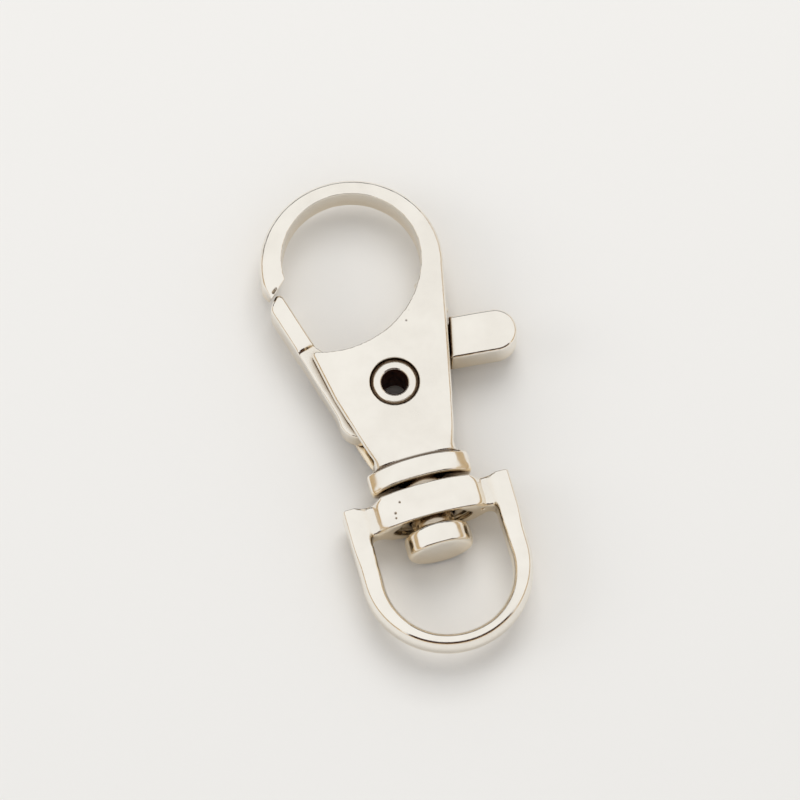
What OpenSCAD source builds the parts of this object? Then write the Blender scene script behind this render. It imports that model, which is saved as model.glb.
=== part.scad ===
// Swivel snap hook with a thumb lever, lying flat on its back.
// Sizes are in millimetres. X points to the thumb tab, Y to the hook ring, Z up from the front face.
// Inside the modules the lever's pivot is at zero; the finished hook is moved so that
// the centre of the hook's eye, at mid thickness, is the origin.

/* [Hook ring] */
// Diameter of the hook's eye
eye_d = 10.4; // [9:0.1:10.9]
// Width of the ring's bar, seen from the front
ring_w = 1.65; // [1.5:0.05:2.1]
// How far the eye's centre lies above the ring's centre, which thins the crown
eye_rise = 0.45; // [0.2:0.05:0.6]
// How far the eye's centre lies to the right of the ring's centre
eye_shift = 0.1; // [0:0.05:0.3]
// Height of the ring's centre above the pivot
ring_rise = 10; // [9.6:0.1:11]
// How far the ring's centre lies to the left of the swivel axis
ring_offset = 0.6; // [0.3:0.1:0.9]
// Thickness of the ring at its crown
ring_t = 2.4; // [2:0.1:3]
// Radius of the flatter arc at the bottom of the eye
throat_r = 7.5; // [7:0.1:8]
// Slope of the nose's end face, seen from the front
nose_deg = 43.5; // [38:0.5:48]
// Lean of the nose's end face, which shortens the nose's back
nose_lean = 11; // [0:1:15]

/* [Body] */
// Thickness over both cheeks
body_t = 4.1; // [3.8:0.1:5]
// Width over the cheeks where they meet the collar
neck_w = 6.1; // [5.6:0.1:7]
// Distance from the swivel axis to the cheeks' upper left corner
cheek_reach = 5.38; // [5.2:0.02:5.6]
// Height of the cheeks' upper left corner above the pivot
cheek_top = 3.7; // [3.4:0.05:3.9]
// How far the cheeks' left edge bows out beside the pivot
cheek_bow = 0.2; // [0:0.05:0.3]
// Chamfer along the body's front and back edges
body_chamfer = 0.25; // [0.1:0.05:0.35]
// Width of the slot between the cheeks
slot_w = 2.5; // [2:0.1:2.7]
// Depth of the slot below the pivot
slot_depth = 5.4; // [5:0.1:5.6]
// Height of the slot's upper end above the pivot, on the thumb side
slot_rise = 4.35; // [4.2:0.05:4.6]

/* [Eyelet] */
// Outer diameter of the eyelet's shank
shank_d = 2.6; // [2.2:0.1:3]
// Diameter of the hole through the eyelet
eyelet_hole_d = 1.6; // [1.4:0.1:2]
// Outer diameter of the rolled rim
rim_d = 3.4; // [3.2:0.1:3.8]
// Gap round the rim in its counterbore
rim_gap = 0.15; // [0.1:0.05:0.3]
// How far the rim's top lies below the cheek's face
rim_sunk = 0.02; // [0.01:0.01:0.1]

/* [Gate lever] */
// Thickness of the gate arm and the thumb tab
lever_t = 3; // [2.8:0.1:3.3]
// Play of the web on each side in the slot
web_play = 0.1; // [0.05:0.05:0.2]
// Lean of the gate arm from the swivel axis
arm_deg = 16.2; // [15.2:0.2:17.2]
// Width of the gate arm
arm_w = 1.43; // [1.2:0.01:1.5]
// Length of the gate arm from its step to its tip
arm_len = 4.55; // [4.2:0.05:4.6]
// Width of the thumb tab
tab_w = 3.3; // [2.8:0.1:3.4]
// Distance from the pivot to the middle of the tab's round end
tab_reach = 8.1; // [7.5:0.1:10]
// Slope of the thumb tab, down to the right
tab_deg = 5.6; // [0:0.2:8]
// Chamfer round the arm and the tab
lever_chamfer = 0.22; // [0.1:0.02:0.3]
// Radius of the lever's tail
tail_r = 1.65; // [1.4:0.05:1.8]

/* [Swivel post] */
// Width of the collar
collar_w = 7.7; // [6.8:0.1:8]
// Thickness of the collar at its middle
collar_t = 4.3; // [4.2:0.1:5]
// Height of the collar
collar_h = 1.7; // [1.4:0.1:2.2]
// Distance from the pivot to the top of the collar
collar_drop = 6.05; // [6:0.05:6.5]
// Radius of the collar's bulged faces
collar_bulge_r = 5.2; // [4.8:0.1:7]
// Diameter of the swivel post
post_d = 3.2; // [2.6:0.1:3.6]
// Diameter of the post's head
head_d = 5; // [4.6:0.1:5.6]
// Height of the post's head
head_h = 1.55; // [1.2:0.05:2.2]

/* [Swivel ring] */
// Width of the boss
boss_w = 7.9; // [7.6:0.1:8.4]
// Thickness of the boss at its middle
boss_t = 4.6; // [4.4:0.1:5.2]
// Height of the boss along the post
boss_h = 2.6; // [2.2:0.1:3.2]
// Radius of the boss's bulged faces
boss_bulge_r = 8.5; // [8:0.1:12]
// Clear width of the strap loop
loop_w = 9.55; // [9.4:0.05:12]
// Length of the strap loop from the boss's top to the outside of the bow
loop_len = 12.64; // [12.4:0.02:16]
// Width of the limbs and the bow
bar_w = 1.6; // [1.3:0.1:2]
// Thickness of the limbs and the bow
bar_t = 2.6; // [2.2:0.1:3]
// Thickness at the bottom of the grooves between boss and limbs
rib_t = 1.8; // [1.4:0.1:2.2]

/* [Spring] */
// Wire diameter of the gate spring
wire_d = 0.26; // [0.2:0.02:0.32]
// Outer diameter of the gate spring
spring_d = 1.7; // [1.4:0.1:1.8]
// Number of turns
spring_turns = 7; // [5:1:9]
// Distance of the spring from the swivel axis
spring_side = 1.75; // [1.5:0.05:1.9]

/* [Fits] */
// Radial clearance of the lever on the eyelet and of the ring on the post
running_fit = 0.06; // [0.02:0.01:0.09]
// Radial clearance of the eyelet's shank in the cheeks
rivet_fit = 0.02; // [0.01:0.01:0.05]
// Gap between the lever's thick parts and the cheeks' edges
edge_gap = 0.12; // [0.1:0.02:0.3]
// Gap between collar and boss
top_play = 0.5; // [0.3:0.05:0.8]
// Gap between boss and post head
head_play = 0.62; // [0.4:0.02:0.8]

/* [Hidden] */
$fn = 96;
plating = "#dcd8cc";
steel = "#c9c6bd";
over = 1;

// Places worked out from the sizes above, seen from the pivot
ring_d = eye_d + 2 * ring_w;
ring_c = [-ring_offset, ring_rise];
eye_c = ring_c + [eye_shift, eye_rise];
throat_deg = 12;
throat_c = eye_c - (throat_r - eye_d / 2) * [cos(throat_deg), -sin(throat_deg)];
neck_r = neck_w / 2;
edge_dist = norm(ring_c - [neck_r, -collar_drop]);
edge_deg = atan2(-ring_c[0] + neck_r, ring_c[1] + collar_drop) - asin(ring_d / 2 / edge_dist);
function right_edge(y) = neck_r - tan(edge_deg) * (y + collar_drop);
left_slope = (cheek_reach - neck_r) / (cheek_top + collar_drop);
bow_y = -0.1;
bow_x = -neck_r - left_slope * (bow_y + collar_drop) - cheek_bow;
function left_edge(y) = y > bow_y
    ? bow_x - (cheek_reach + bow_x) * (y - bow_y) / (cheek_top - bow_y)
    : -neck_r + (bow_x + neck_r) * (y + collar_drop) / (bow_y + collar_drop);
flat_end = -collar_drop + 2.6;
tangent_y = ring_c[1] + ring_d / 2 * sin(edge_deg);
crown_y = ring_c[1] + ring_d / 2 - body_chamfer;
taper = (body_t - ring_t) / 2 / (crown_y - cheek_top);
function face_z(y) = body_t / 2 - max(0, y - cheek_top) * taper;
nose_c = ring_c + [-(ring_d + eye_d) / 4, -0.91];
counterbore_r = rim_d / 2 + rim_gap;
roll_r = (rim_d - eyelet_hole_d) / 4;
seat_z = body_t / 2 - rim_sunk - roll_r;

web_t = slot_w - 2 * web_play;
arm_foot = [-cheek_reach + arm_w * 0.32, cheek_top + arm_w * 0.63];
tab_r = tab_w / 2;
tab_tip = tab_reach * [cos(15), sin(15)] + [0.25, 0.06];
seat_y = -2.75;
bore_r = shank_d / 2 + running_fit;

collar_end = collar_drop + collar_h;
boss_top = collar_end + top_play;
boss_end = boss_top + boss_h;
head_top = boss_end + head_play;
head_end = head_top + head_h;
loop_r = loop_w / 2 + bar_w / 2;
loop_c = boss_top + loop_len - loop_r - bar_w / 2;
limb_top = boss_top + 0.25;
recess_depth = 0.4;
pocket_depth = 1.2;
pocket_gap = 0.1;

// Moves a child from the pivot's frame to the hook's own frame
module placed() {
    translate([-eye_c[0], -eye_c[1], 0]) children();
}

// Flat plate of thickness t about mid height
module plate(t) {
    translate([0, 0, -t / 2]) linear_extrude(t) children();
}

// Convex plate with chamfered front and back edges
module chamfered_plate(t, c) {
    plate(t) offset(delta = -c) children();
    plate(t - 2 * c) children();
}

// Section with two bulged faces, drawn across the swivel axis
module bulged_section(w, t, r) {
    intersection() {
        translate([0, r - t / 2]) circle(r);
        translate([0, t / 2 - r]) circle(r);
        square([w, t], center = true);
    }
}

// Bar along the swivel axis from one distance below the pivot to another
module axial(from, to) {
    translate([0, -from, 0]) rotate([90, 0, 0]) linear_extrude(to - from) children();
}

// One face of the ring, leaning towards the crown, with its chamfer as a blunt cone
module ring_face() {
    depth = 2 * body_t;
    rim = ring_d / 2 - body_chamfer;
    translate([ring_c[0], ring_c[1], face_z(ring_c[1]) + 0.01]) rotate([-atan(taper), 0, 0])
        translate([0, 0, -depth]) cylinder(h = depth, r1 = rim + depth, r2 = rim);
}

// Round of the hook ring: a disc that gets thinner towards its crown
module ring_disc() {
    intersection() {
        translate([ring_c[0], ring_c[1], 0]) cylinder(h = body_t, r = ring_d / 2, center = true);
        ring_face();
        mirror([0, 0, 1]) ring_face();
    }
}

// Half thickness of the body at a place: flat over the cheeks, bulged like the collar at the neck
function neck_blend(y) = pow(max(0, flat_end - y) / (flat_end + collar_drop), 2);
function skin_z(x, y) = let (a = min(abs(x), 0.8 * collar_bulge_r))
    face_z(y) - neck_blend(y) * (collar_bulge_r - sqrt(pow(collar_bulge_r, 2) - a * a));

// Thin slice across the body at one height, with chamfered corners
module slice(y, x0, x1) {
    c = body_chamfer;
    xs = [for (i = [0:16]) x0 + c + (x1 - x0 - 2 * c) * i / 16];
    upper = concat([[x0, skin_z(x0, y) - c]], [for (x = xs) [x, skin_z(x, y)]], [[x1, skin_z(x1, y) - c]]);
    lower = [for (i = [len(upper) - 1:-1:0]) [upper[i][0], -upper[i][1]]];
    translate([0, y, 0]) rotate([90, 0, 0]) linear_extrude(0.01) polygon(concat(upper, lower));
}

// Outer form of the hook: ring, cheeks and neck
module body_skin() {
    intersection() {
        ring_disc();
        translate([-ring_d, cheek_top + 1.2, -body_t]) cube([2 * ring_d, 2 * ring_d, 2 * body_t]);
    }
    hull() {
        slice(tangent_y, ring_c[0], right_edge(tangent_y) - 0.012);
        for (y = [cheek_top, bow_y, flat_end, flat_end - 0.9, flat_end - 1.7, -collar_drop + 0.01])
            slice(y, left_edge(y), right_edge(y));
    }
}

// Outline of the eye: a round crown that runs into a flatter throat
module eye_outline() {
    translate(eye_c) circle(eye_d / 2);
    intersection() {
        translate(throat_c) circle(throat_r);
        polygon([
            eye_c,
            eye_c + 2 * ring_d * [cos(throat_deg), -sin(throat_deg)],
            [ring_d, -ring_d],
            [-ring_d, -ring_d],
            nose_c - ring_d * [cos(nose_deg), sin(nose_deg)],
            nose_c
        ]);
    }
}

// Gap in the ring that the gate arm closes
module mouth_outline() {
    polygon([
        nose_c + [cos(nose_deg), sin(nose_deg)] * 2,
        nose_c - [cos(nose_deg), sin(nose_deg)] * 4,
        [-ring_d, cheek_top],
        [left_edge(cheek_top), cheek_top],
        throat_c
    ]);
}

// Cut that leans the nose's end face
module nose_cut() {
    translate([nose_c[0], nose_c[1], face_z(nose_c[1])]) rotate(nose_deg) rotate([nose_lean, 0, 0])
        translate([-3, -2.5, -2 * body_t]) cube([5, 2.56, 3 * body_t]);
}

// Cut that flattens the nose's outer side
module nose_flat() {
    tip = nose_c - ring_w * 0.4 * [cos(nose_deg), sin(nose_deg)];
    plate(body_t + 2 * over) polygon([
        tip,
        tip + [-0.5, 2.2],
        tip + [-2, 2.2],
        tip - [1, 2]
    ]);
}

module spring_pocket() {
    translate([spring_side, -slot_depth, 0]) rotate([90, 0, 0])
        translate([0, 0, -over]) cylinder(h = pocket_depth + over, r = spring_d / 2 + pocket_gap);
}

module collar() {
    lip = 0.3;
    axial(collar_drop, collar_end - lip) bulged_section(collar_w, collar_t, collar_bulge_r);
    hull() {
        axial(collar_end - lip - 0.02, collar_end - lip) bulged_section(collar_w, collar_t, collar_bulge_r, $fn = 64);
        axial(collar_end - 0.02, collar_end)
            bulged_section(collar_w - lip, collar_t - 2 * lip, collar_bulge_r, $fn = 64);
    }
}

// Post and head, turned about the swivel axis
module swivel_post() {
    round_r = 0.32;
    head_r = head_d / 2;
    rotate([90, 0, 0]) rotate_extrude() polygon(concat(
        [[0, collar_end - 0.2], [post_d / 2, collar_end - 0.2], [post_d / 2, head_top]],
        [for (a = [90:-22.5:0]) [head_r - round_r + round_r * cos(a), head_top + round_r - round_r * sin(a)]],
        [for (a = [0:-22.5:-90]) [head_r - round_r + round_r * cos(a), head_end - round_r - round_r * sin(a)]],
        [[0, head_end]]
    ));
}

module hook_body() {
    color(plating) placed() {
        difference() {
            body_skin();
            plate(body_t + 2 * over) eye_outline();
            plate(body_t + 2 * over) mouth_outline();
            nose_cut();
            nose_flat();
            plate(slot_w) translate([-ring_d, -slot_depth]) square([2 * ring_d, slot_depth + slot_rise]);
            cylinder(h = body_t + 2 * over, r = shank_d / 2 + rivet_fit, center = true);
            for (side = [0, 1]) mirror([0, 0, side]) translate([0, 0, seat_z]) cylinder(h = over, r = counterbore_r);
            spring_pocket();
        }
        difference() {
            collar();
            spring_pocket();
        }
        swivel_post();
    }
}

// Gate arm, thick as the nose, with a blunt wedge at its tip
module gate_arm() {
    hull() chamfered_plate(lever_t, lever_chamfer)
        translate(arm_foot) rotate(arm_deg) polygon([
            [0, 0],
            [0, arm_len - 0.22],
            [-arm_w * 0.31, arm_len],
            [-arm_w * 0.8, arm_len - 0.48],
            [-arm_w, arm_len - 0.85],
            [-arm_w, 0]
        ]);
}

// Thumb tab with a round end
module thumb_tab() {
    hull() chamfered_plate(lever_t, lever_chamfer) {
        intersection() {
            translate(tab_tip) rotate(-tab_deg) union() {
                circle(tab_r, $fn = 64);
                translate([-tab_reach, -tab_r]) square([tab_reach, tab_w]);
            }
            polygon([
                [right_edge(slot_rise) + edge_gap, slot_rise],
                [right_edge(0) + edge_gap, 0],
                [2 * tab_reach, 0],
                [2 * tab_reach, slot_rise]
            ]);
        }
    }
}

// Thin middle of the lever, which turns in the slot
module web_outline() {
    tail_c = [left_edge(-tail_r) - 0.52 + tail_r, -tail_r - 0.05];
    across = [cos(arm_deg), sin(arm_deg)];
    along = [-sin(arm_deg), cos(arm_deg)];
    skin = 0.05;
    translate(tail_c) circle(tail_r);
    polygon([
        arm_foot - (arm_w - skin) * across + 0.06 * along,
        arm_foot - (arm_w - skin) * across + 0.5 * along,
        arm_foot - skin * across + 0.5 * along,
        arm_foot - skin * across - skin * along,
        [arm_foot[0] + 1.2, 3.1],
        [0, 2.9],
        [3.4, 3.4],
        [right_edge(slot_rise) + 0.7, slot_rise - 0.75],
        [right_edge(0) + 0.8, 1.3],
        [right_edge(0) - 0.3, 0.9],
        [spring_side + 1.2, -0.6],
        [spring_side + 1.2, seat_y],
        [spring_side - 1.2, seat_y],
        tail_c + [0, -tail_r],
        tail_c + tail_r * [-cos(12), sin(12)]
    ]);
}

module gate_lever() {
    color(plating) placed() difference() {
        union() {
            gate_arm();
            thumb_tab();
            plate(web_t) web_outline();
        }
        cylinder(h = lever_t + 2 * over, r = bore_r, center = true);
    }
}

// Hollow rivet with both ends rolled over
module pivot_eyelet() {
    color(steel) placed() {
        rotate_extrude() translate([eyelet_hole_d / 2, -seat_z])
            square([(shank_d - eyelet_hole_d) / 2, 2 * seat_z]);
        for (side = [0, 1]) mirror([0, 0, side]) translate([0, 0, seat_z]) rotate_extrude()
            intersection() {
                translate([eyelet_hole_d / 2 + roll_r, 0]) circle(roll_r, $fn = 48);
                square([rim_d, roll_r]);
            }
    }
}

// Compression spring: closed end turns, even pitch between
function spring_rise(f) = f < 0.14 ? f * 0.5 : f > 0.86 ? 1 - (1 - f) * 0.5 : 0.07 + (f - 0.14) * 0.86 / 0.72;
module gate_spring() {
    steps = spring_turns * 20;
    sides = 8;
    coil_r = (spring_d - wire_d) / 2;
    low = -slot_depth - pocket_depth + wire_d / 2 + 0.01;
    high = seat_y - wire_d / 2 - 0.01;
    points = [for (i = [0:steps], k = [0:sides - 1])
        let (turn = 360 * spring_turns * i / steps, a = 360 * k / sides, r = coil_r + wire_d / 2 * cos(a))
            [r * cos(turn), low + (high - low) * spring_rise(i / steps) + wire_d / 2 * sin(a), r * sin(turn)]];
    skin = [for (i = [0:steps - 1], k = [0:sides - 1])
        let (n = (k + 1) % sides) [i * sides + k, (i + 1) * sides + k, (i + 1) * sides + n, i * sides + n]];
    first = [for (k = [0:sides - 1]) k];
    last = [for (k = [sides - 1:-1:0]) steps * sides + k];
    color(steel) placed() translate([spring_side, 0, 0]) polyhedron(points, concat(skin, [first, last]));
}

// Bar section: a rectangle with well rounded corners
module bar_section() {
    r = bar_w * 0.22;
    polygon([for (q = [0:3], a = [0:22.5:90])
        let (sx = q == 0 || q == 3 ? 1 : -1, sz = q < 2 ? 1 : -1)
        [sx * (bar_w / 2 - r), sz * (bar_t / 2 - r)] + r * [cos(a + 90 * q), sin(a + 90 * q)]]);
}

// Outline of the boss with rounded upper corners
module boss_outline() {
    r = 0.4;
    polygon(concat(
        [[-boss_w / 2, -boss_end], [boss_w / 2, -boss_end]],
        [for (a = [0:22.5:90]) [boss_w / 2 - r + r * cos(a), -boss_top - r + r * sin(a)]],
        [for (a = [90:22.5:180]) [-boss_w / 2 + r + r * cos(a), -boss_top - r + r * sin(a)]]
    ));
}

// Web between boss and limb, with a round groove along each face
module web_section() {
    groove_r = (loop_w - boss_w) * 0.35;
    difference() {
        square([2 * loop_r, bar_t], center = true);
        for (sx = [-1, 1], sz = [-1, 1])
            translate([sx * (boss_w + loop_w) / 4, sz * (rib_t / 2 + groove_r)]) circle(groove_r, $fn = 48);
    }
}

module swivel_ring() {
    color(plating) placed() difference() {
        union() {
            intersection() {
                axial(boss_top - over, boss_end + over) bulged_section(boss_w + over, boss_t, boss_bulge_r);
                plate(boss_t + over) boss_outline();
            }
            axial(limb_top, boss_end) web_section();
            for (side = [-1, 1]) translate([side * loop_r, 0, 0]) axial(limb_top, loop_c) bar_section();
            translate([0, -loop_c, 0]) rotate([0, 0, 180]) rotate_extrude(angle = 180)
                translate([loop_r, 0]) bar_section();
        }
        axial(boss_top - over, boss_end + over) circle(post_d / 2 + running_fit);
        axial(boss_end - recess_depth, boss_end + over) bulged_section(6, 3.8, 3.4);
    }
}

hook_body();
gate_lever();
pivot_eyelet();
gate_spring();
swivel_ring();
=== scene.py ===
import math

import bmesh
import bpy
import numpy as np
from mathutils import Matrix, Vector


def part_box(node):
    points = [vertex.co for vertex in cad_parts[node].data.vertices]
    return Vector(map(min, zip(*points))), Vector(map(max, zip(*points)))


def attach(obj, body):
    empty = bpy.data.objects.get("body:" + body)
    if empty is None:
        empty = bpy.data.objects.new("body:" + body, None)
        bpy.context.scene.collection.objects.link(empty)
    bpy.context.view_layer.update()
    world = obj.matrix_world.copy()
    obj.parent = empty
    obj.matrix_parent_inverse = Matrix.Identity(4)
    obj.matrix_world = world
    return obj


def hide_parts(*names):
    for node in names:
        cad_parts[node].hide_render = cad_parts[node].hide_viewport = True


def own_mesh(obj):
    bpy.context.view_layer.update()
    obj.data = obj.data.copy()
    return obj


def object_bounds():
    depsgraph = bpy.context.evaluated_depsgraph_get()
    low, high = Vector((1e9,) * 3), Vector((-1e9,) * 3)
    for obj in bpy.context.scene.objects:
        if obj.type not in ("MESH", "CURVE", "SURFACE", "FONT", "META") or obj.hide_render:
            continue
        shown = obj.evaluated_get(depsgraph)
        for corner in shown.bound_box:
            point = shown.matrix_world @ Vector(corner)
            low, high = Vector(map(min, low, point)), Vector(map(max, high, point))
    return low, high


bl_info = {
    "name": "Swivel snap hook",
    "version": (1, 0, 0),
    "blender": (4, 5, 0),
    "location": "3D View > Sidebar > Snap Hook",
    "description": "Dresses the castings, the eyelet and the spring of a nickel-plated snap hook",
    "category": "Object",
}

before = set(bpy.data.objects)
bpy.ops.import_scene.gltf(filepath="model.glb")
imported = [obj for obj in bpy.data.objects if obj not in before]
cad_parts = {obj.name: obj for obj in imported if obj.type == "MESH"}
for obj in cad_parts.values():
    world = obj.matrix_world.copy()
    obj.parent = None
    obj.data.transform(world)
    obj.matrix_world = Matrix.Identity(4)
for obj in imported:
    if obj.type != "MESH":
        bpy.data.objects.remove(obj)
CAD_BOX = [list(corner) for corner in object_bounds()]

MM = 0.001
PIVOT = Vector((0.5, -10.45, 0.0)) * MM
FLOOR_Z = CAD_BOX[0][2]

# The gate arm leans to the left of +Y by this angle.
ARM_LEAN = math.radians(16.2)

# The strap loop's bar, in millimetres: height of the bow's centre, radius of the bar's middle, half section.
BOW_Y = -24.965
BAR_RADIUS = 5.575
BAR_HALF_WIDTH = 0.8
BAR_HALF_DEPTH = 1.3

# The photograph's camera: azimuth and elevation in degrees, distance in metres, aim in millimetres.
PHOTO_AZIMUTH, PHOTO_ELEVATION, PHOTO_DISTANCE = -15.4, 71.0, 0.5
PHOTO_AIM_RIGHT, PHOTO_AIM_UP = 0.394, -0.749

# Painted warm reflection on walls near other surfaces.
PAINTED_WARM_REFLECTION = (0.86, 0.70, 0.46, 1.0)
# Painted brown shade deep in joints.
PAINTED_JOINT_SHADE = (0.080, 0.036, 0.019, 1.0)
PIT_BROWN = (0.060, 0.028, 0.016, 1.0)
BORE_SHADOW = (0.03, 0.014, 0.010, 1.0)


# ---------------------------------------------------------------- settings

class CastingSettings(bpy.types.PropertyGroup):
    """Mesh of the cast pieces."""
    grid: bpy.props.FloatProperty(
        name="Skin grid", description="Spacing of the vertices on the cast pieces",
        default=0.00007, min=0.00005, max=0.0003, precision=6, unit="LENGTH")
    softness: bpy.props.FloatProperty(
        name="Edge softness", description="How far the plating rounds every edge",
        default=0.00015, min=0.00003, max=0.0003, precision=6, unit="LENGTH")


class PlatingSettings(bpy.types.PropertyGroup):
    """Colour and gloss of the nickel plating."""
    nickel: bpy.props.FloatVectorProperty(
        name="Nickel", description="Colour of the bright plating",
        subtype="COLOR", size=3, min=0, max=1, default=(0.94, 0.905, 0.84))
    tarnish: bpy.props.FloatVectorProperty(
        name="Tarnish", description="Colour of the plating in corners and pits",
        subtype="COLOR", size=3, min=0, max=1, default=(0.30, 0.22, 0.15))
    steel: bpy.props.FloatVectorProperty(
        name="Spring steel", description="Colour of the spring's wire",
        subtype="COLOR", size=3, min=0, max=1, default=(0.52, 0.50, 0.47))
    # Painted shade: the bore's colour is partly the bare brown metal and partly painted shade for the dark
    # hole.
    bore: bpy.props.FloatVectorProperty(
        name="Eyelet bore", description="Colour of the bare brown metal inside the eyelet",
        subtype="COLOR", size=3, min=0, max=1, default=(0.16, 0.055, 0.03))
    roughness: bpy.props.FloatProperty(
        name="Roughness", description="Roughness of the polished plating",
        default=0.13, min=0.02, max=0.6)


class StudioSettings(bpy.types.PropertyGroup):
    """Floor, lamps and background."""
    floor: bpy.props.FloatVectorProperty(
        name="Floor", description="Colour of the floor",
        subtype="COLOR", size=3, min=0, max=1, default=(0.86, 0.85, 0.83))
    background: bpy.props.FloatVectorProperty(
        name="Background", description="Colour behind the object",
        subtype="COLOR", size=3, min=0, max=1, default=(0.95, 0.945, 0.93))
    key_power: bpy.props.FloatProperty(
        name="Key lamp", description="Power of the soft lamp overhead",
        default=0.9, min=0, max=20, unit="POWER")
    ambient: bpy.props.FloatProperty(
        name="Ambient light", description="Strength of the light from all round",
        default=0.66, min=0, max=3)


# ---------------------------------------------------------------- shader helpers

def add(tree, kind, **values):
    """A new node with its properties set."""
    node = tree.nodes.new(kind)
    for name, value in values.items():
        setattr(node, name, value)
    return node


def put(tree, socket, value):
    """Links another node's socket to an input, or sets the input's own value."""
    if isinstance(value, bpy.types.NodeSocket):
        tree.links.new(value, socket)
    else:
        socket.default_value = value


def feed(tree, node, **sockets):
    """Sets or links a node's inputs by name, with underscores for spaces."""
    for name, value in sockets.items():
        put(tree, node.inputs[name.replace("_", " ")], value)


def group_tree(name, inputs, outputs):
    """A shader node group with its sockets, and its two end nodes."""
    tree = bpy.data.node_groups.new(name, "ShaderNodeTree")
    for socket, kind, default in inputs:
        made = tree.interface.new_socket(socket, in_out="INPUT", socket_type=kind)
        if default is not None:
            made.default_value = default
    for socket, kind in outputs:
        tree.interface.new_socket(socket, in_out="OUTPUT", socket_type=kind)
    return tree, tree.nodes.new("NodeGroupInput"), tree.nodes.new("NodeGroupOutput")


def noise(tree, vector, scale, detail=2.0, rough=0.5):
    """A noise texture's value."""
    node = add(tree, "ShaderNodeTexNoise")
    feed(tree, node, Vector=vector, Scale=scale, Detail=detail, Roughness=rough)
    return node.outputs["Fac"]


def ramp(tree, value, low, high, to_low=0.0, to_high=1.0):
    """Maps a value from one range to another, with its ends held."""
    node = add(tree, "ShaderNodeMapRange", interpolation_type="SMOOTHSTEP")
    feed(tree, node, Value=value, From_Min=low, From_Max=high, To_Min=to_low, To_Max=to_high)
    return node.outputs["Result"]


def math_node(tree, operation, first, second=0.0):
    """One sum on sockets or numbers."""
    node = add(tree, "ShaderNodeMath", operation=operation)
    for socket, value in zip(node.inputs, (first, second)):
        put(tree, socket, value)
    return node.outputs[0]


def mix_colour(tree, factor, first, second):
    """Two colours mixed by a factor."""
    node = add(tree, "ShaderNodeMix", data_type="RGBA")
    for index, value in ((0, factor), (6, first), (7, second)):
        put(tree, node.inputs[index], value)
    return node.outputs[2]


def plating_group():
    """Bright plating over a die casting: ripples, fine grain, dull patches, and concave corners patchily
    darker and duller towards the tarnish colour.
    """
    tree, start, end = group_tree(
        "Plated Casting",
        [("Colour", "NodeSocketColor", (0.8, 0.8, 0.8, 1)),
         ("Tarnish", "NodeSocketColor", (0.2, 0.2, 0.2, 1)),
         ("Gloss Roughness", "NodeSocketFloat", 0.15),
         ("Dull Roughness", "NodeSocketFloat", 0.35),
         ("Dull Amount", "NodeSocketFloat", 0.0),
         ("Ripple Depth", "NodeSocketFloat", 0.5),
         ("Grain Depth", "NodeSocketFloat", 0.5),
         ("Tarnish Amount", "NodeSocketFloat", 0.6)],
        [("Colour", "NodeSocketColor"), ("Roughness", "NodeSocketFloat"), ("Normal", "NodeSocketVector")])
    place = add(tree, "ShaderNodeTexCoord").outputs["Object"]
    geometry = add(tree, "ShaderNodeNewGeometry")
    ripple = noise(tree, place, 420.0, 1.5, 0.45)
    patch = noise(tree, place, 260.0, 3.0, 0.6)
    grain = noise(tree, place, 7000.0, 3.0, 0.65)
    # Concave corners, found by pointiness, go patchily darker towards the tarnish colour.
    corner = ramp(tree, geometry.outputs["Pointiness"], 0.49, 0.42)
    crust = noise(tree, place, 2600.0, 4.0, 0.7)
    stain = math_node(tree, "MULTIPLY", corner, ramp(tree, crust, 0.25, 0.7, 0.35, 1.0))
    stain = math_node(tree, "MULTIPLY", stain, start.outputs["Tarnish Amount"])
    dull = math_node(tree, "MULTIPLY", ramp(tree, patch, 0.42, 0.68), start.outputs["Dull Amount"])
    cloud = mix_colour(tree, ramp(tree, patch, 0.3, 0.75, 0.0, 0.10), start.outputs["Colour"],
                       start.outputs["Tarnish"])
    colour = mix_colour(tree, stain, cloud, start.outputs["Tarnish"])
    gap = math_node(tree, "SUBTRACT", start.outputs["Dull Roughness"], start.outputs["Gloss Roughness"])
    rise = math_node(tree, "MAXIMUM", dull, stain)
    rough = math_node(tree, "MULTIPLY", gap, rise)
    rough = math_node(tree, "ADD", rough, start.outputs["Gloss Roughness"])
    rough = math_node(tree, "ADD", rough, ramp(tree, grain, 0.3, 0.8, -0.02, 0.03))
    wave = add(tree, "ShaderNodeBump")
    feed(tree, wave, Strength=start.outputs["Ripple Depth"], Distance=0.00006, Height=ripple)
    fine = add(tree, "ShaderNodeBump")
    feed(tree, fine, Strength=start.outputs["Grain Depth"], Distance=0.0000035, Height=grain,
         Normal=wave.outputs["Normal"])
    feed(tree, end, Colour=colour, Roughness=rough, Normal=fine.outputs["Normal"])
    return tree


def principled(name, metallic=1.0):
    """A new material, its tree and its shader."""
    material = bpy.data.materials.new(name)
    material.use_nodes = True
    tree = material.node_tree
    shader = tree.nodes["Principled BSDF"]
    shader.inputs["Metallic"].default_value = metallic
    return material, tree, shader


def occlusion(tree, reach):
    """How open a point is to its own surroundings, within a reach in metres."""
    node = add(tree, "ShaderNodeAmbientOcclusion", samples=6)
    feed(tree, node, Distance=reach)
    return node.outputs["AO"]


def painted_shade_and_reflection(tree, colour):
    """Painted light from ambient occlusion: a painted warm reflection on walls with other surfaces close by,
    and painted brown shade deep in joints.
    """
    low = ramp(tree, occlusion(tree, 6 * MM), 0.85, 0.5, 0.0, 0.7)
    reflection_tinted = mix_colour(tree, low, colour, PAINTED_WARM_REFLECTION)
    deep = ramp(tree, occlusion(tree, 0.8 * MM), 0.9, 0.3, 0.0, 0.9)
    return mix_colour(tree, deep, reflection_tinted, PAINTED_JOINT_SHADE)


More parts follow.
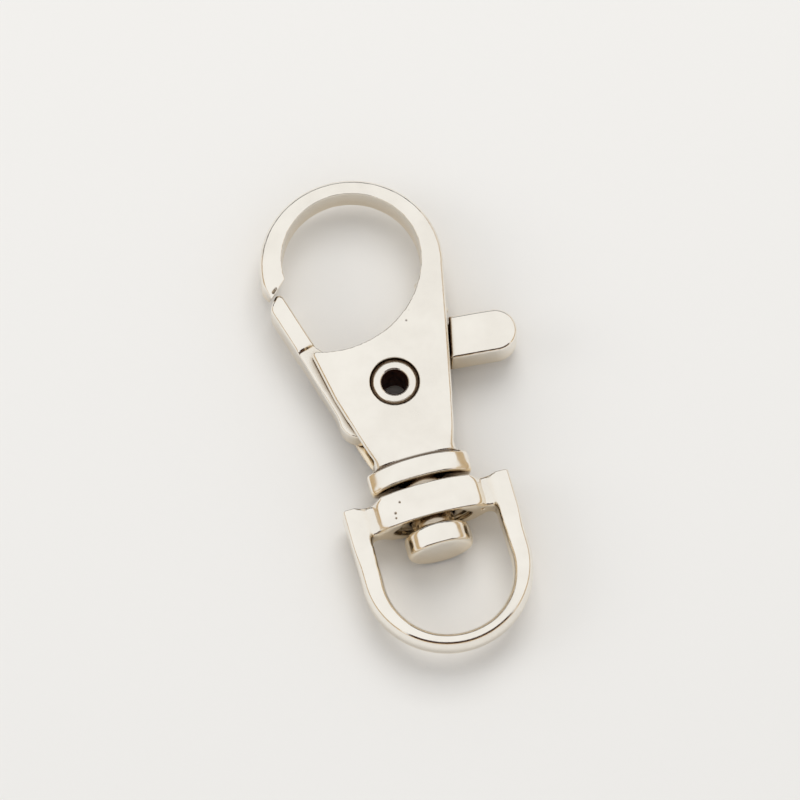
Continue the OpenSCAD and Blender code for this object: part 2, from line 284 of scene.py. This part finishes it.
def plated(name, group, colour, tarnish, **values):
    """A material that wears the plating group with its own values."""
    material, tree, shader = principled(name)
    coat = add(tree, "ShaderNodeGroup", node_tree=group)
    feed(tree, coat, Colour=(*colour, 1.0), Tarnish=(*tarnish, 1.0), **values)
    pit = add(tree, "ShaderNodeAttribute", attribute_name="pit")
    stained = mix_colour(tree, ramp(tree, pit.outputs["Fac"], 0.05, 0.9), coat.outputs["Colour"], PIT_BROWN)
    # The base colour carries painted shade in joints and a painted warm reflection on walls.
    feed(tree, shader, Base_Color=painted_shade_and_reflection(tree, stained), Roughness=coat.outputs["Roughness"],
         Normal=coat.outputs["Normal"])
    return material


def dress(obj, material):
    """Gives an object its only material."""
    obj.data.materials.clear()
    obj.data.materials.append(material)


# ---------------------------------------------------------------- mesh helpers

def link(name, mesh):
    """A new object of a mesh, in the scene."""
    obj = bpy.data.objects.new(name, mesh)
    bpy.context.scene.collection.objects.link(obj)
    return obj


def smooth_shaded(mesh):
    mesh.polygons.foreach_set("use_smooth", [True] * len(mesh.polygons))
    mesh.update()


def inside(points, low, high, fade=0.25):
    """How far points lie inside a box, from 0 at its border to 1, in millimetres."""
    depth = np.minimum(points - np.array(low), np.array(high) - points).min(axis=1)
    return np.clip(depth / fade, 0, 1)


def blend(mesh, boxes):
    """Rounds a mesh more strongly inside boxes: low corner, high corner (millimetres), passes."""
    points = points_of(mesh)
    count = len(points)
    edges = np.zeros(len(mesh.edges) * 2, np.int32)
    mesh.edges.foreach_get("vertices", edges)
    first, second = edges[0::2], edges[1::2]
    near = np.maximum(np.bincount(first, minlength=count) + np.bincount(second, minlength=count), 1)
    for low, high, passes in boxes:
        share = 0.5 * inside(points, low, high)[:, None]
        for _ in range(passes):
            total = np.zeros_like(points)
            for axis in range(3):
                total[:, axis] = (np.bincount(first, points[second, axis], count)
                                  + np.bincount(second, points[first, axis], count))
            points = points + share * (total / near[:, None] - points)
    write_points(mesh, points)


def seam(mesh, y, width, depth, above):
    """Presses a narrow groove across the front and the back of a piece, in millimetres."""
    points = points_of(mesh)
    bowl = np.clip(1 - ((points[:, 1] - y) / width) ** 2, 0, 1) * (np.abs(points[:, 2]) > above)
    stain(mesh, 0.8 * bowl)
    write_points(mesh, points - normals_of(mesh) * (bowl * depth)[:, None])


def shorten_nose(mesh):
    """Draws the back of the nose's tip in behind its front edge."""
    points = points_of(mesh)
    share = np.clip((-0.2 - points[:, 1]) / 1.4, 0, 1) * (points[:, 0] < -5)
    share = share * (points[:, 1] > -3) * np.clip((1.7 - points[:, 2]) / 3.4, 0, 1)
    write_points(mesh, points + share[:, None] * np.array((0.34, 0.42, 0.0)))


def close_tab(mesh):
    """Brings the thick end of the tab closer to the cheeks."""
    points = points_of(mesh)
    share = np.clip((6.2 - points[:, 0]) / 0.8, 0, 1) * (points[:, 0] > 4) * (points[:, 1] > -10.4)
    share = share * np.clip((np.abs(points[:, 2]) - 1.17) / 0.06, 0, 1)
    write_points(mesh, points - share[:, None] * np.array((0.08, 0.0, 0.0)))


def round_bar(mesh):
    """Gives the strap loop's bar a rounder section that gets narrower towards the bow."""
    points = points_of(mesh)
    middle_x = PIVOT.x / MM
    side = points[:, 0] - middle_x
    below = np.minimum(points[:, 1] - BOW_Y, 0)
    reach = np.maximum(np.hypot(side, below), 1e-6)
    out_x, out_y = side / reach, below / reach
    angle = np.arctan2(points[:, 2] / BAR_HALF_DEPTH, (reach - BAR_RADIUS) / BAR_HALF_WIDTH)
    bow = np.clip(-out_y * 1.1, 0, 1)
    power = 3.2 - 1.1 * bow
    edge = (np.abs(np.cos(angle)) ** power + np.abs(np.sin(angle)) ** power) ** (-1 / power)
    share = np.clip((-21.9 - points[:, 1]) / 1.6, 0, 1)
    taper = 0.15 * bow
    radius = BAR_RADIUS + (edge * np.cos(angle) * (BAR_HALF_WIDTH - taper) + taper)
    moved = points.copy()
    moved[:, 0] = middle_x + out_x * radius
    moved[:, 1] = np.where(below < 0, BOW_Y + out_y * radius, points[:, 1])
    moved[:, 2] = edge * np.sin(angle) * BAR_HALF_DEPTH
    write_points(mesh, points + share[:, None] * (moved - points))


def stretch(mesh, direction, start, length, amount):
    """Draws the part of a piece beyond a distance along a direction further out, in millimetres."""
    points = points_of(mesh)
    along = np.array(direction, float) / np.linalg.norm(direction)
    share = np.clip((points @ along - start) / length, 0, 1)
    write_points(mesh, points + along * (share * amount)[:, None])


def applied(work):
    """A working object's mesh with its modifiers applied; the object itself goes."""
    bpy.context.view_layer.update()
    depsgraph = bpy.context.evaluated_depsgraph_get()
    made = bpy.data.meshes.new_from_object(work.evaluated_get(depsgraph))
    source = work.data
    bpy.data.objects.remove(work)
    bpy.data.meshes.remove(source)
    return made


def cast_skin(node, name, settings):
    """A CAD node's form as one closed skin, with every edge and corner softly rounded."""
    grid = settings.grid / MM
    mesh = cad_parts[node].data.copy()
    mesh.materials.clear()
    bm = bmesh.new()
    bm.from_mesh(mesh)
    bmesh.ops.scale(bm, vec=(1 / MM, 1 / MM, 1 / MM), verts=bm.verts)
    bmesh.ops.remove_doubles(bm, verts=bm.verts, dist=0.0005)
    bm.to_mesh(mesh)
    bm.free()
    work = link(name + "_work", mesh)
    skin = work.modifiers.new("Skin", "REMESH")
    skin.mode = "VOXEL"
    skin.voxel_size = grid
    soften = work.modifiers.new("Soften", "SMOOTH")
    soften.factor = 0.5
    soften.iterations = max(2, round((2 * settings.softness / MM / grid) ** 2))
    made = applied(work)
    made.name = name
    return made


def points_of(mesh):
    """A mesh's points as rows."""
    points = np.zeros(len(mesh.vertices) * 3, np.float32)
    mesh.vertices.foreach_get("co", points)
    return points.reshape(-1, 3).astype(float)


def normals_of(mesh):
    """A mesh's point normals as rows."""
    normals = np.zeros(len(mesh.vertices) * 3, np.float32)
    mesh.vertices.foreach_get("normal", normals)
    return normals.reshape(-1, 3).astype(float)


def write_points(mesh, points):
    mesh.vertices.foreach_set("co", points.astype(np.float32).ravel())
    mesh.update()


def stain(mesh, amount):
    """Adds to the tarnish that each point of a mesh carries."""
    name = "pit"
    layer = mesh.attributes.get(name) or mesh.attributes.new(name, "FLOAT", "POINT")
    values = np.zeros(len(mesh.vertices), np.float32)
    layer.data.foreach_get("value", values)
    layer.data.foreach_set("value", np.clip(values + amount, 0, 1).astype(np.float32))


def dents(mesh, places):
    """Pits (depth above zero) and nibs (below zero): x, y, z, radius and depth in millimetres."""
    points = points_of(mesh)
    normals = normals_of(mesh)
    dark = np.zeros(len(points))
    for x, y, z, radius, depth in places:
        away = np.linalg.norm(points - np.array([x, y, z]), axis=1) / radius
        bowl = np.clip(1 - away ** 2, 0, 1) ** 2
        points = points - normals * (bowl * depth)[:, None]
        if depth > 0:
            dark += bowl
    stain(mesh, 0.9 * dark)
    write_points(mesh, points)


def finished(mesh, name, node, body, material, places=(), keep=1.0):
    """Puts the pits in, thins the mesh, brings it to metres, and hands the piece to its body."""
    dents(mesh, places)
    if keep < 1:
        work = link(name + "_work", mesh)
        thin = work.modifiers.new("Thin", "DECIMATE")
        thin.ratio = keep
        mesh = applied(work)
    mesh.name = name
    smooth_shaded(mesh)
    write_points(mesh, points_of(mesh) * MM)
    obj = link(name, mesh)
    dress(obj, material)
    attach(obj, body)
    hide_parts(node)


def lathe(profile, steps, wobble):
    """A closed ring of a closed profile (radius, height) about Z; wobble(turn, index) changes a radius."""
    bm = bmesh.new()
    rings = []
    for step in range(steps):
        turn = 2 * math.pi * step / steps
        ring = []
        for index, (radius, height) in enumerate(profile):
            r = radius + wobble(turn, index)
            ring.append(bm.verts.new((r * math.cos(turn), r * math.sin(turn), height)))
        rings.append(ring)
    count = len(profile)
    for step in range(steps):
        here, there = rings[step], rings[(step + 1) % steps]
        for index in range(count):
            after = (index + 1) % count
            bm.faces.new((here[index], there[index], there[after], here[after]))
    bmesh.ops.recalc_face_normals(bm, faces=bm.faces)
    mesh = bpy.data.meshes.new("lathe")
    bm.to_mesh(mesh)
    bm.free()
    return mesh


# ---------------------------------------------------------------- pieces

def get_group():
    """The plating group, made once and shared by all materials."""
    return bpy.data.node_groups.get("Plated Casting") or plating_group()


# Parts that the casting rounds more: low corner, high corner (millimetres), passes.
HOOK_ROUNDED = [
    ((-3.9, -16.6, 0.3), (4.9, -12.4, 3), 50),
    ((-3.9, -16.6, -3), (4.9, -12.4, -0.3), 50),
    ((-4, -18.7, -3), (5, -16.3, 3), 8),
    ((-4, -18.6, 0.6), (5, -17.3, 3), 24),
    ((-4, -18.6, -3), (5, -17.3, -0.6), 24),
    ((-2.8, -24, -3), (3.8, -21.6, 3), 16),
]
GATE_ROUNDED = [
    ((-8, -5.9, -3), (-3, 0, 3), 14),
    ((-7.5, -14, -3), (-2.5, -9.5, 3), 40),
]
RING_ROUNDED = [
    ((-7, -33, -3), (8, -17, 3), 4),
    ((-4.9, -22.2, 0.2), (-2.85, -17.5, 3), 110),
    ((3.9, -22.2, 0.2), (5.85, -17.5, 3), 80),
    ((-4.9, -22.2, -3), (-2.85, -17.5, -0.2), 110),
    ((3.9, -22.2, -3), (5.85, -17.5, -0.2), 80),
    ((-4, -21.8, 0.9), (5, -20.5, 3), 36),
    ((-4, -21.8, -3), (5, -20.5, -0.9), 36),
]

# Nibs on the eye's wall, pits on the cheek and the notch at the nose, as dents() takes them.
HOOK_MARKS = [
    (4.15, -3.35, 1.1, 0.42, -0.24),
    (5.75, -5.75, 1.2, 0.35, -0.16),
    (2.6, -6.05, 2.05, 0.16, 0.07),
    (3.0, -5.3, 2.05, 0.14, 0.06),
    (-6.30, -1.17, 1.72, 0.20, 0.20),
    (-6.17, -1.05, 1.72, 0.20, 0.22),
    (-6.04, -0.93, 1.72, 0.18, 0.16),
]
# Pits on the boss and under its right end.
RING_MARKS = [
    (-1.67, -19.64, 2.02, 0.15, 0.09),
    (-2.18, -20.34, 1.87, 0.16, 0.10),
    (-2.23, -20.72, 1.86, 0.14, 0.09),
    (4.3, -21.25, 0.4, 0.25, 0.2),
]


class SNAPHOOK_OT_hook(bpy.types.Operator):
    """Hook ring, cheeks, collar and swivel post as one plated casting"""
    bl_idname = "snaphook.hook"
    bl_label = "Hook casting"

    def execute(self, context):
        scene = context.scene
        plating = scene.snap_plating
        mesh = cast_skin("hook_body", "hook_casting", scene.snap_casting)
        blend(mesh, HOOK_ROUNDED)
        shorten_nose(mesh)
        stretch(mesh, (0, -1, 0), 22.8, 0.5, 0.14)
        seam(mesh, -16.52, 0.13, 0.10, 0.9)
        material = plated("Nickel, hook casting", get_group(), plating.nickel, plating.tarnish,
                          Gloss_Roughness=plating.roughness, Dull_Roughness=0.34, Dull_Amount=0.6,
                          Ripple_Depth=0.35, Grain_Depth=0.5, Tarnish_Amount=0.7)
        finished(mesh, "hook_casting", "hook_body", "hook", material, HOOK_MARKS, 0.55)
        return {"FINISHED"}


class SNAPHOOK_OT_gate(bpy.types.Operator):
    """Gate lever with its arm, web and thumb tab as one plated casting"""
    bl_idname = "snaphook.gate"
    bl_label = "Gate lever"

    def execute(self, context):
        scene = context.scene
        plating = scene.snap_plating
        mesh = cast_skin("gate_lever", "gate_casting", scene.snap_casting)
        blend(mesh, GATE_ROUNDED)
        close_tab(mesh)
        stretch(mesh, (1, 0, 0), 6.2, 1.5, 0.26)
        stretch(mesh, (-math.sin(ARM_LEAN), math.cos(ARM_LEAN), 0), -3.6, 3, 0.27)
        material = plated("Nickel, gate lever", get_group(), plating.nickel, plating.tarnish,
                          Gloss_Roughness=plating.roughness, Dull_Roughness=0.3, Dull_Amount=0.3,
                          Ripple_Depth=0.3, Grain_Depth=0.4, Tarnish_Amount=0.7)
        finished(mesh, "gate_casting", "gate_lever", "gate", material, (), 0.8)
        return {"FINISHED"}


class SNAPHOOK_OT_eyelet(bpy.types.Operator):
    """Hollow rivet with its two rolled rims"""
    bl_idname = "snaphook.eyelet"
    bl_label = "Pivot eyelet"

    def execute(self, context):
        plating = context.scene.snap_plating
        low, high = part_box("pivot_eyelet")
        rim = (high.x - low.x) / 2 / MM
        top = high.z / MM
        hole, shank = 0.93, 1.3
        roll = (rim - hole) / 2
        seat = top - roll
        arc = [math.radians(a) for a in range(0, 181, 12)]
        upper = [(hole + roll - roll * math.cos(a), seat + roll * math.sin(a)) for a in arc]
        under = [(shank + 0.1, seat + 0.02), (shank, seat - 0.05)]
        half = [(hole, z) for z in (0.3, 0.9, 1.4)] + upper + under + [(shank, 0.4)]
        profile = half + [(r, -z) for r, z in reversed(half)]

        def wobble(turn, index):
            """The rolled lips aren't quite round; the bore and the shank are."""
            upper_lip = 8 < index < len(half) - 2
            lower_lip = len(profile) - len(half) + 1 < index < len(profile) - 9
            amount = 0.008 * math.sin(3 * turn + 0.6) + 0.006 * math.sin(7 * turn)
            return -abs(amount) if upper_lip or lower_lip else 0.0

        mesh = lathe(profile, 144, wobble)
        write_points(mesh, points_of(mesh) + np.array(PIVOT) / MM)
        material, tree, shader = principled("Nickel, eyelet")
        coat = add(tree, "ShaderNodeGroup", node_tree=get_group())
        feed(tree, coat, Colour=(*plating.nickel, 1.0), Tarnish=(*plating.tarnish, 1.0),
             Gloss_Roughness=0.12, Dull_Roughness=0.3, Dull_Amount=0.4, Ripple_Depth=0.25,
             Grain_Depth=0.4, Tarnish_Amount=0.3)
        place = add(tree, "ShaderNodeTexCoord").outputs["Object"]
        centred = add(tree, "ShaderNodeVectorMath", operation="SUBTRACT")
        put(tree, centred.inputs[0], place)
        put(tree, centred.inputs[1], PIVOT)
        split = add(tree, "ShaderNodeSeparateXYZ")
        feed(tree, split, Vector=centred.outputs[0])
        square = math_node(tree, "ADD", math_node(tree, "POWER", split.outputs["X"], 2.0),
                           math_node(tree, "POWER", split.outputs["Y"], 2.0))
        radius = math_node(tree, "SQRT", square)
        # Painted shade inside the eyelet: the bore is coloured dark brown, partly bare metal and partly
        # painted shade for the deep hole, blotched with the darker shadow colour.
        within = ramp(tree, radius, 0.99 * MM, 0.955 * MM)
        bore = mix_colour(tree, ramp(tree, noise(tree, place, 2400.0, 4.0, 0.7), 0.35, 0.7),
                          (*plating.bore, 1.0), BORE_SHADOW)
        colour = mix_colour(tree, within, coat.outputs["Colour"], bore)
        rough_bore = math_node(tree, "MULTIPLY", within, 0.55)
        dull = math_node(tree, "MAXIMUM", coat.outputs["Roughness"], rough_bore)
        feed(tree, shader, Base_Color=colour, Roughness=dull, Normal=coat.outputs["Normal"])
        finished(mesh, "eyelet_rolled", "pivot_eyelet", "hook", material)
        return {"FINISHED"}


class SNAPHOOK_OT_spring(bpy.types.Operator):
    """Compression spring of the gate, wound from round wire"""
    bl_idname = "snaphook.spring"
    bl_label = "Gate spring"

    def execute(self, context):
        plating = context.scene.snap_plating
        low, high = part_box("gate_spring")
        wire = 0.26 * MM
        coil = (high.x - low.x) / 2 - wire / 2
        middle = (low + high) / 2
        turns, per_turn, sides = 7, 36, 10
        closed = 0.14
        rise = high.y - low.y - wire
        bm = bmesh.new()
        rings = []
        for step in range(turns * per_turn + 1):
            f = step / (turns * per_turn)
            if f < closed:
                share = 0.5 * f
            elif f > 1 - closed:
                share = 1 - 0.5 * (1 - f)
            else:
                share = closed / 2 + (f - closed) * (1 - closed) / (1 - 2 * closed)
            turn = 2 * math.pi * turns * f
            y = low.y + wire / 2 + rise * share
            ring = []
            for side in range(sides):
                a = 2 * math.pi * side / sides
                r = coil + wire / 2 * math.cos(a)
                ring.append(bm.verts.new((middle.x + r * math.cos(turn), y + wire / 2 * math.sin(a),
                                          middle.z + r * math.sin(turn))))
            rings.append(ring)
        for here, there in zip(rings, rings[1:]):
            for side in range(sides):
                after = (side + 1) % sides
                bm.faces.new((here[side], here[after], there[after], there[side]))
        bm.faces.new(rings[0][::-1])
        bm.faces.new(rings[-1])
        bmesh.ops.recalc_face_normals(bm, faces=bm.faces)
        mesh = bpy.data.meshes.new("spring_coil")
        bm.to_mesh(mesh)
        bm.free()
        smooth_shaded(mesh)
        obj = link("spring_coil", mesh)
        material = plated("Spring steel wire", get_group(), plating.steel, plating.tarnish,
                          Gloss_Roughness=0.28, Dull_Roughness=0.5, Dull_Amount=0.6, Ripple_Depth=0.1,
                          Grain_Depth=0.9, Tarnish_Amount=0.5)
        dress(obj, material)
        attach(obj, "hook")
        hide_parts("gate_spring")
        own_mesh(obj)
        return {"FINISHED"}


class SNAPHOOK_OT_swivel_ring(bpy.types.Operator):
    """Boss, limbs and bow of the swivel ring as one plated casting"""
    bl_idname = "snaphook.swivel_ring"
    bl_label = "Swivel ring"

    def execute(self, context):
        scene = context.scene
        plating = scene.snap_plating
        mesh = cast_skin("swivel_ring", "ring_casting", scene.snap_casting)
        blend(mesh, RING_ROUNDED)
        round_bar(mesh)
        material = plated("Nickel, swivel ring", get_group(), plating.nickel, plating.tarnish,
                          Gloss_Roughness=plating.roughness, Dull_Roughness=0.32, Dull_Amount=0.5,
                          Ripple_Depth=0.35, Grain_Depth=0.5, Tarnish_Amount=0.7)
        finished(mesh, "ring_casting", "swivel_ring", "loop", material, RING_MARKS, 0.9)
        return {"FINISHED"}


# ---------------------------------------------------------------- studio

def rectangle(name, middle, across, up, width, height):
    """A flat card from its middle, two directions and its size."""
    across, up = Vector(across).normalized(), Vector(up).normalized()
    corners = [Vector(middle) + across * width / 2 * a + up * height / 2 * b
               for a, b in ((-1, -1), (1, -1), (1, 1), (-1, 1))]
    mesh = bpy.data.meshes.new(name)
    mesh.from_pydata([tuple(c) for c in corners], [], [(0, 1, 2, 3)])
    mesh.update()
    return link(name, mesh)


def plain(name, colour, roughness):
    """A plain matt material."""
    material, tree, shader = principled(name, 0.0)
    shader.inputs["Base Color"].default_value = (*colour, 1.0)
    shader.inputs["Roughness"].default_value = roughness
    shader.inputs["Specular IOR Level"].default_value = 0.2
    return material


def soft_lamp(name, middle, target, size, power, colour=(1, 1, 1)):
    """A square area lamp that reflections don't see."""
    lamp = bpy.data.lights.new(name, "AREA")
    lamp.shape = "SQUARE"
    lamp.size = size
    lamp.energy = power
    lamp.color = colour
    obj = bpy.data.objects.new(name, lamp)
    bpy.context.scene.collection.objects.link(obj)
    obj.location = middle
    obj.rotation_euler = (Vector(target) - Vector(middle)).to_track_quat("-Z", "Y").to_euler()
    obj.visible_glossy = False
    return obj


def reflected_card(name, colour, radius, low, high, start, end):
    """An upright curved card that only reflections see."""
    steps = 48
    bm = bmesh.new()
    rows = []
    for step in range(steps + 1):
        turn = math.radians(start + (end - start) * step / steps)
        x, y = radius * math.cos(turn), radius * math.sin(turn)
        rows.append((bm.verts.new((x, y, low)), bm.verts.new((x, y, high))))
    for here, there in zip(rows, rows[1:]):
        bm.faces.new((here[0], there[0], there[1], here[1]))
    mesh = bpy.data.meshes.new(name)
    bm.to_mesh(mesh)
    bm.free()
    card = link(name, mesh)
    dress(card, plain(name, colour, 0.9))
    card.visible_camera = False
    card.visible_shadow = False
    card.visible_diffuse = False
    return card


def background_world(scene, colour, ambient):
    """A plain colour for the camera and for reflections, and even light for all else."""
    world = bpy.data.worlds.new("Studio")
    scene.world = world
    world.use_nodes = True
    tree = world.node_tree
    tree.nodes.clear()
    path = add(tree, "ShaderNodeLightPath")
    seen = math_node(tree, "MAXIMUM", path.outputs["Is Camera Ray"], path.outputs["Is Glossy Ray"])
    seen = math_node(tree, "MAXIMUM", seen, path.outputs["Is Transmission Ray"])
    shown = add(tree, "ShaderNodeBackground")
    feed(tree, shown, Color=(*colour, 1.0), Strength=1.0)
    light = add(tree, "ShaderNodeBackground")
    feed(tree, light, Color=(1.0, 1.0, 1.0, 1.0), Strength=ambient)
    mix = add(tree, "ShaderNodeMixShader")
    tree.links.new(seen, mix.inputs[0])
    tree.links.new(light.outputs[0], mix.inputs[1])
    tree.links.new(shown.outputs[0], mix.inputs[2])
    end = add(tree, "ShaderNodeOutputWorld")
    tree.links.new(mix.outputs[0], end.inputs["Surface"])


def photo_camera(scene):
    """Camera at the photograph's viewing angle."""
    azimuth, elevation = math.radians(PHOTO_AZIMUTH), math.radians(PHOTO_ELEVATION)
    back = Vector((math.sin(azimuth) * math.cos(elevation), -math.cos(azimuth) * math.cos(elevation),
                   math.sin(elevation)))
    right = Vector((math.cos(azimuth), math.sin(azimuth), 0))
    up = back.cross(right)
    target = PIVOT + PHOTO_AIM_RIGHT * MM * right + PHOTO_AIM_UP * MM * up
    data = bpy.data.cameras.new("Photo camera")
    data.sensor_width = 36
    data.lens = 302.4
    data.clip_start = 0.01
    data.clip_end = 20
    camera = bpy.data.objects.new("Photo camera", data)
    scene.collection.objects.link(camera)
    camera.location = target + back * PHOTO_DISTANCE
    camera.rotation_euler = (-back).to_track_quat("-Z", "Y").to_euler()
    scene.camera = camera


# Cards that only reflections see: name, colour, radius, low and high edge (metres), start and end (degrees).
CARDS = [
    ("Near dark card", (0.043, 0.016, 0.010), 0.16, 0.010, 0.086, 227, 313),
    ("Far dark card", (0.035, 0.032, 0.030), 0.20, 0.002, 0.08, 45, 135),
    ("Warm card", (0.72, 0.50, 0.26), 0.15, FLOOR_Z, 0.012, 215, 325),
    ("Warm card, right", (0.62, 0.46, 0.27), 0.18, FLOOR_Z, 0.05, -40, 45),
    ("Warm card, left", (0.62, 0.46, 0.27), 0.18, FLOOR_Z, 0.05, 135, 220),
]


class SNAPHOOK_OT_stage(bpy.types.Operator):
    """Floor, soft lamps, background and camera"""
    bl_idname = "snaphook.stage"
    bl_label = "Studio"

    def execute(self, context):
        scene = context.scene
        studio = scene.snap_studio
        floor = rectangle("Floor", (0, 0, FLOOR_Z), (1, 0, 0), (0, 1, 0), 6, 6)
        dress(floor, plain("Floor", studio.floor, 0.8))
        [reflected_card(*card) for card in CARDS]
        soft_lamp("Key", (0.10, 0.22, 0.42), PIVOT, 0.3, studio.key_power, (1.0, 0.985, 0.96))
        soft_lamp("Fill", (-0.5, 0.1, 0.3), PIVOT, 0.3, 0.5 * studio.key_power)
        background_world(scene, studio.background, studio.ambient)
        scene.view_settings.view_transform = "Standard"
        photo_camera(scene)
        return {"FINISHED"}


class SNAPHOOK_PT_panel(bpy.types.Panel):
    """Steps that dress the snap hook"""
    bl_idname = "SNAPHOOK_PT_panel"
    bl_label = "Snap Hook"
    bl_space_type = "VIEW_3D"
    bl_region_type = "UI"
    bl_category = "Snap Hook"

    def draw(self, context):
        layout = self.layout
        for operator in OPERATORS:
            layout.operator(operator.bl_idname)
        for name in SETTINGS:
            group = getattr(context.scene, name)
            for key in group.bl_rna.properties.keys():
                if key not in {"rna_type", "name"}:
                    layout.prop(group, key)


OPERATORS = [
    SNAPHOOK_OT_hook,
    SNAPHOOK_OT_gate,
    SNAPHOOK_OT_eyelet,
    SNAPHOOK_OT_spring,
    SNAPHOOK_OT_swivel_ring,
    SNAPHOOK_OT_stage,
]
SETTINGS = {
    "snap_casting": CastingSettings,
    "snap_plating": PlatingSettings,
    "snap_studio": StudioSettings,
}


def register():
    for cls in [*SETTINGS.values(), *OPERATORS, SNAPHOOK_PT_panel]:
        bpy.utils.register_class(cls)
    for name, cls in SETTINGS.items():
        setattr(bpy.types.Scene, name, bpy.props.PointerProperty(type=cls))


def unregister():
    for name in SETTINGS:
        delattr(bpy.types.Scene, name)
    for cls in reversed([*SETTINGS.values(), *OPERATORS, SNAPHOOK_PT_panel]):
        bpy.utils.unregister_class(cls)


def main():
    register()
    bpy.ops.snaphook.hook()
    bpy.ops.snaphook.gate()
    bpy.ops.snaphook.eyelet()
    bpy.ops.snaphook.spring()
    bpy.ops.snaphook.swivel_ring()
    bpy.ops.snaphook.stage()


if __name__ == "__main__":
    main()
